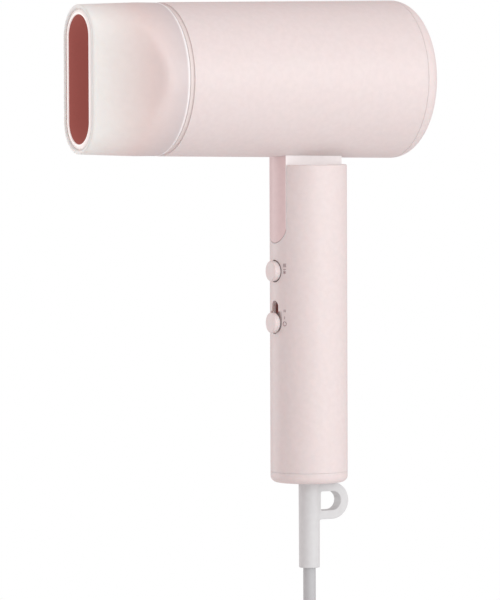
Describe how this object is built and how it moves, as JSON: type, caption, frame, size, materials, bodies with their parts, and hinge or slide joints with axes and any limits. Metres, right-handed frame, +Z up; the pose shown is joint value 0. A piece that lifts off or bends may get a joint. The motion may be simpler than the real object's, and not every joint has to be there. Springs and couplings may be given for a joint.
{
  "type": "travel hair dryer",
  "caption": "Compact hair dryer with a round barrel on a fold-down grip, a clip-on flat nozzle, two thumb controls, a hanging loop and a coiled mains cord.",
  "frame": {"origin": "on the grip's axis at the middle of the handle", "axes": "+Z up along the handle, +X the way the air leaves, +Y across the barrel"},
  "size_m": [0.1613, 0.07, 0.479],
  "materials": {
    "black_plastic": "black glass-filled plastic",
    "board_green": "circuit board",
    "body_pink": "satin moulded plastic, pale pink",
    "brass": "nickel-plated brass",
    "cord_grey": "grey flexible cord sheath",
    "dark_steel": "zinc-plated motor steel",
    "frosted": "frosted milky plastic",
    "groove_beige": "matte beige-pink plastic",
    "lip_white": "smooth white-pink plastic",
    "mica": "speckled mica sheet",
    "nichrome": "heater alloy",
    "relief_white": "off-white flexible plastic",
    "rubber_dark": "soft rubber",
    "steel": "plain steel",
    "terracotta": "matte terracotta plastic",
    "tie_white": "moulded tie",
    "white_plastic": "natural white plastic",
    "wire_red": "insulated wire"
  },
  "bodies": {
    "handle": {"handle_shell": "body_pink", "bottom_cap": "body_pink", "hinge_bracket": "body_pink", "hinge_pin": "steel", "bracket_screws": "steel", "switch_chassis": "white_plastic", "control_board": "board_green", "cool_switch": "black_plastic", "power_switch": "terracotta", "ion_generator": "black_plastic", "cord_clamp": "white_plastic", "clamp_screws": "steel", "strain_relief": "relief_white", "cord_inner": "cord_grey", "mains_wires": "wire_red", "button_spring": "steel", "cord_lead": "cord_grey", "cord_coil": "cord_grey", "cord_tie": "tie_white", "cord_tail": "cord_grey", "plug_relief": "cord_grey", "mains_plug": "cord_grey", "plug_pins": "brass"},
    "head": {"neck_knuckle": "body_pink", "hinge_bush_left": "white_plastic", "hinge_bush_right": "white_plastic", "neck_screws": "steel", "barrel_shell": "body_pink", "rear_cover": "body_pink", "intake_grille": "groove_beige", "outlet_ring": "groove_beige", "outlet_grille": "terracotta", "ion_emitter": "black_plastic", "fan_duct": "black_plastic", "damper_ring": "rubber_dark", "motor_mount": "black_plastic", "motor_can": "dark_steel", "motor_endbell": "white_plastic", "rectifier_board": "board_green", "heat_shield": "mica", "mica_ring_rear": "mica", "mica_ring_front": "mica", "mica_upright": "mica", "mica_level": "mica", "heater_coil_rear": "nichrome", "heater_coil_front": "nichrome", "thermostat": "steel", "thermal_fuse": "white_plastic", "head_wires": "wire_red", "terminal_block": "white_plastic"},
    "fan": {"motor_shaft": "steel", "fan_impeller": "white_plastic"},
    "nozzle_ring": {"nozzle_ring": "groove_beige"},
    "nozzle": {"nozzle_shell": "frosted", "nozzle_liner": "terracotta", "nozzle_lip": "lip_white"},
    "cool_button": {"cool_button": "body_pink"},
    "power_slider": {"power_slider": "body_pink"}
  },
  "joints": [
    {"name": "fold", "type": "hinge", "parent": "handle", "child": "head", "pos_m": [0.0045, 0, 0.0548], "axis": [0, 1, 0], "range_deg": [0, 90]},
    {"name": "fan_spin", "type": "hinge", "parent": "head", "child": "fan", "pos_m": [-0.02, 0, 0.109], "axis": [1, 0, 0], "continuous": true},
    {"name": "nozzle_pull", "type": "slide", "parent": "head", "child": "nozzle_ring", "axis": [1, 0, 0], "range_m": [0, 0.02]},
    {"name": "nozzle_turn", "type": "hinge", "parent": "nozzle_ring", "child": "nozzle", "pos_m": [0.08, 0, 0.109], "axis": [1, 0, 0], "continuous": true},
    {"name": "cool_press", "type": "slide", "parent": "handle", "child": "cool_button", "axis": [-1, 0, 0], "range_m": [0, 0.0012], "stiffness_N_per_m": 800, "springref_m": -0.0006, "deforming": ["button_spring"]},
    {"name": "power_slide", "type": "slide", "parent": "handle", "child": "power_slider", "axis": [0, 0, 1], "range_m": [0, 0.006]}
  ]
}
